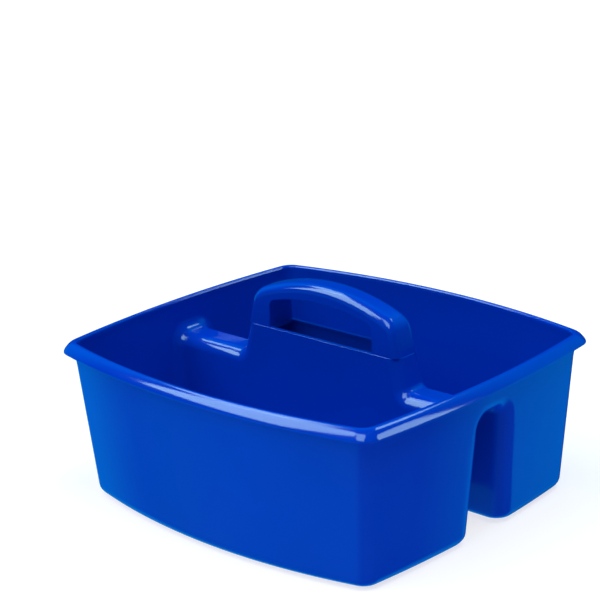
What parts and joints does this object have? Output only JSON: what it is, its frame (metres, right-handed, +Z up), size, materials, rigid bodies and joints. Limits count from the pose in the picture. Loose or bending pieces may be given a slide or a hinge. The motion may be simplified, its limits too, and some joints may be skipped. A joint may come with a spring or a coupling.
{
  "type": "cleaning caddy",
  "caption": "Open carry caddy with two deep bins side by side, a rolled rim and a hollow centre divider that rises to an arched carrying handle.",
  "frame": {"origin": "middle of the caddy's footprint, at the level of the underside it stands on", "axes": "+X along the divider and handle, to the right seen from the larger front bin; +Y from the front bin to the rear bin; +Z up"},
  "size_m": [0.33, 0.2964, 0.1662],
  "materials": {
    "moulded_plastic": "gloss"
  },
  "bodies": {
    "root": {"front_bin": "moulded_plastic", "rear_bin": "moulded_plastic", "rim": "moulded_plastic", "left_saddle": "moulded_plastic", "right_saddle": "moulded_plastic", "divider_tower": "moulded_plastic", "left_handle_leg": "moulded_plastic", "right_handle_leg": "moulded_plastic", "handle_grip": "moulded_plastic"}
  },
  "joints": []
}
